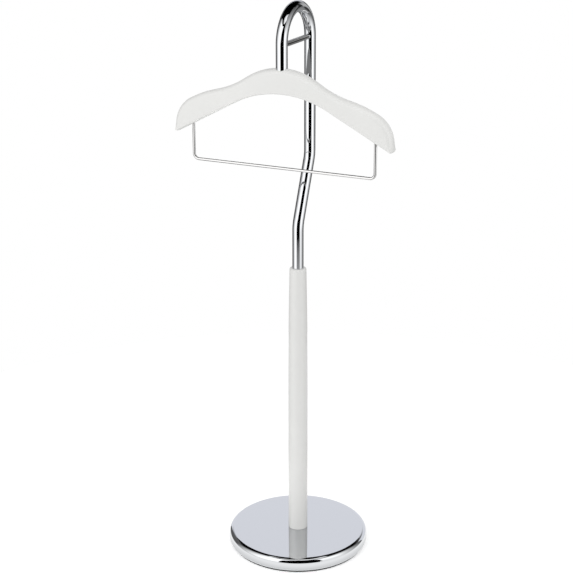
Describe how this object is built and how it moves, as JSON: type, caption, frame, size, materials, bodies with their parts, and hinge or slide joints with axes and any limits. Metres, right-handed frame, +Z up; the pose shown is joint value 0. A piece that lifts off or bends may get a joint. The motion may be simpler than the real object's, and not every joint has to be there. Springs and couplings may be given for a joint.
{
  "type": "valet stand",
  "caption": "Free-standing valet stand: weighted round chrome foot, white turned column, bent chrome tube with an arch and cross bar, white swivelling coat hanger and wire trouser bar.",
  "frame": {"origin": "on the floor, under the middle of the round foot and the column", "axes": "+Z up along the column, X along the hanger, -Y towards the front, the hanger's side"},
  "size_m": [0.445, 0.286, 1.118],
  "materials": {
    "chrome": "polished",
    "white_lacquer": "satin",
    "cast_ballast": "matte",
    "dark_pad": "matte",
    "zinc_steel": "satin",
    "nylon": "satin"
  },
  "bodies": {
    "stand": {"base_cover": "chrome", "base_ballast": "cast_ballast", "base_pad": "dark_pad", "base_washer": "zinc_steel", "base_spring_washer": "zinc_steel", "base_nut": "zinc_steel", "tie_rod": "zinc_steel", "column": "white_lacquer", "frame_tube": "chrome", "cross_bar": "chrome", "tube_foot_plug": "zinc_steel", "tube_head_plug": "zinc_steel", "swivel_washer": "nylon", "hanger_screw": "zinc_steel", "hanger_washer": "zinc_steel", "hanger_spring_washer": "zinc_steel"},
    "hanger": {"hanger_body": "white_lacquer", "trouser_bar": "chrome"}
  },
  "joints": [
    {"name": "hanger_swivel", "type": "hinge", "parent": "stand", "child": "hanger", "pos_m": [0, -0.0697, 0.999], "axis": [0, 0, 1], "range_deg": [-75, 75]}
  ]
}
